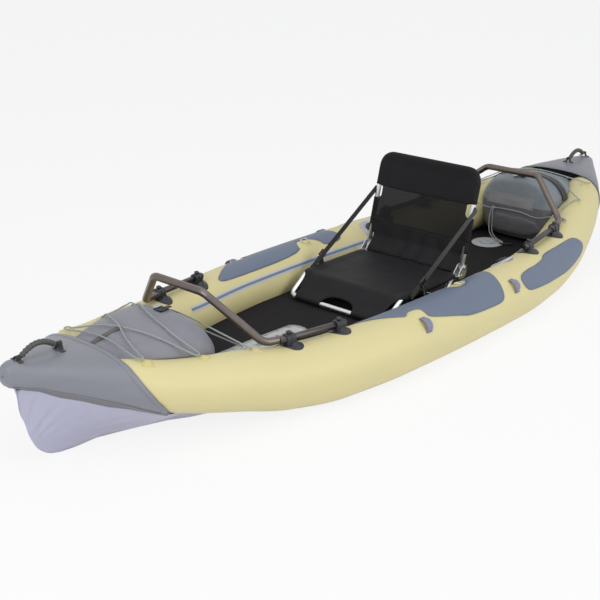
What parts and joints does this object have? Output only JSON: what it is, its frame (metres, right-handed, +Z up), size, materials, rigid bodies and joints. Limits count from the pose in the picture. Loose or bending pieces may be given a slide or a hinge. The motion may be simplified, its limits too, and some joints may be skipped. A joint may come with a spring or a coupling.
{
  "type": "inflatable fishing kayak",
  "caption": "Inflatable sit-on fishing kayak with raised ends, a folding sling chair, bent accessory frames clamped over the cockpit and gear bags lashed under elastic cord.",
  "frame": {"origin": "on the ground under the middle of the boat, at the bottom centre of the box round the whole part", "axes": "+X towards the stern, so the bow points to -X; +Y to starboard, so port is -Y; +Z up"},
  "size_m": [3.2, 0.98, 0.5468],
  "materials": {
    "tube_fabric": "satin coated fabric, pale yellow",
    "rub_patch": "satin coated fabric, slate",
    "cover_fabric": "woven coated fabric, grey",
    "keel_fabric": "coated fabric, lavender grey",
    "keel_rod": "bare tube",
    "floor_fabric": "matte black fabric",
    "ruler_film": "pale printed film",
    "valve_film": "pale moulded disc",
    "valve_plastic": "moulded grey plastic",
    "loop_webbing": "woven webbing",
    "ring_steel": "stainless wire",
    "handle_webbing": "black webbing core",
    "handle_grip": "ribbed moulded grip",
    "frame_tube": "brown-grey anodised tube",
    "clamp_plastic": "near-black moulded clamp",
    "seat_tube": "bright tube",
    "hinge_steel": "bolt",
    "seat_fabric": "black woven fabric",
    "seat_webbing": "black webbing",
    "bow_bag_fabric": "grey woven fabric",
    "stern_bag_fabric": "teal grey woven fabric",
    "elastic_cord": "braided elastic cord",
    "hook_plastic": "hook on an elastic loop"
  },
  "bodies": {
    "hull": {"port_side_tube": "tube_fabric", "starboard_side_tube": "tube_fabric", "bow_cover": "cover_fabric", "stern_cover": "cover_fabric", "hull_bottom": "keel_fabric", "bow_keel_skin": "keel_fabric", "stern_keel_skin": "keel_fabric", "bow_keel_rod": "keel_rod", "stern_keel_rod": "keel_rod", "air_floor": "floor_fabric", "floor_cover": "floor_fabric", "measuring_strip": "ruler_film", "floor_valve": "valve_film", "port_front_rub_patch": "rub_patch", "port_rear_rub_patch": "rub_patch", "port_valve": "valve_plastic", "port_front_loop": "loop_webbing", "port_rear_loop": "loop_webbing", "starboard_front_rub_patch": "rub_patch", "starboard_rear_rub_patch": "rub_patch", "starboard_valve": "valve_plastic", "starboard_front_loop": "loop_webbing", "starboard_rear_loop": "loop_webbing", "front_frame_bar": "frame_tube", "port_front_slide": "frame_tube", "port_front_near_clamp": "clamp_plastic", "port_front_far_clamp": "clamp_plastic", "starboard_front_slide": "frame_tube", "starboard_front_near_clamp": "clamp_plastic", "starboard_front_far_clamp": "clamp_plastic", "rear_frame_bar": "frame_tube", "port_rear_slide": "frame_tube", "port_rear_near_clamp": "clamp_plastic", "port_rear_far_clamp": "clamp_plastic", "starboard_rear_slide": "frame_tube", "starboard_rear_near_clamp": "clamp_plastic", "starboard_rear_far_clamp": "clamp_plastic", "seat_pan_frame": "seat_tube", "seat_pan_sling": "seat_fabric", "port_hinge_bolt": "hinge_steel", "port_seat_strap": "seat_webbing", "starboard_hinge_bolt": "hinge_steel", "starboard_seat_strap": "seat_webbing", "bow_gear_bag": "bow_bag_fabric", "stern_gear_bag": "stern_bag_fabric", "stern_bag_strap": "seat_webbing", "bow_lacing_cord": "elastic_cord", "stern_lacing_cord": "elastic_cord", "stern_hook_loop": "hook_plastic"},
    "bow_handle": {"bow_handle_core": "handle_webbing", "bow_handle_grip": "handle_grip"},
    "stern_handle": {"stern_handle_core": "handle_webbing", "stern_handle_grip": "handle_grip"},
    "seat_back": {"seat_back_frame": "seat_tube", "seat_back_sling": "seat_fabric"},
    "port_cap": {"port_valve_cap": "valve_plastic"},
    "starboard_cap": {"starboard_valve_cap": "valve_plastic"},
    "floor_cap": {"floor_valve_cap": "valve_plastic"},
    "port_ring": {"port_d_ring": "ring_steel"},
    "starboard_ring": {"starboard_d_ring": "ring_steel"}
  },
  "joints": [
    {"name": "bow_handle_swing", "type": "hinge", "parent": "hull", "child": "bow_handle", "pos_m": [-1.478, 0, 0.337], "axis": [1, 0, 0], "range_deg": [-70, 70]},
    {"name": "stern_handle_swing", "type": "hinge", "parent": "hull", "child": "stern_handle", "pos_m": [1.478, 0, 0.357], "axis": [1, 0, 0], "range_deg": [-70, 70]},
    {"name": "seat_back_fold", "type": "hinge", "parent": "hull", "child": "seat_back", "pos_m": [0.262, 0, 0.186], "axis": [0, -1, 0], "range_deg": [0, 102], "deforming": ["port_seat_strap", "starboard_seat_strap"]},
    {"name": "port_cap_turn", "type": "hinge", "parent": "hull", "child": "port_cap", "pos_m": [0.38811, -0.31686, 0.19677], "axis": [-0.0457, 0.5427, 0.8387], "range_deg": [0, 90]},
    {"name": "starboard_cap_turn", "type": "hinge", "parent": "hull", "child": "starboard_cap", "pos_m": [0.38811, 0.31686, 0.19677], "axis": [-0.0457, -0.5427, 0.8387], "range_deg": [0, 90]},
    {"name": "floor_cap_turn", "type": "hinge", "parent": "hull", "child": "floor_cap", "pos_m": [0.86, 0.052, 0.083], "axis": [0, 0, 1], "range_deg": [0, 90]},
    {"name": "port_ring_swing", "type": "hinge", "parent": "hull", "child": "port_ring", "pos_m": [0.03987, -0.35232, 0.2137], "axis": [-1, -0.0044, 0], "range_deg": [0, 140]},
    {"name": "starboard_ring_swing", "type": "hinge", "parent": "hull", "child": "starboard_ring", "pos_m": [0.03987, 0.35232, 0.2137], "axis": [1, -0.0044, 0], "range_deg": [0, 140]}
  ]
}
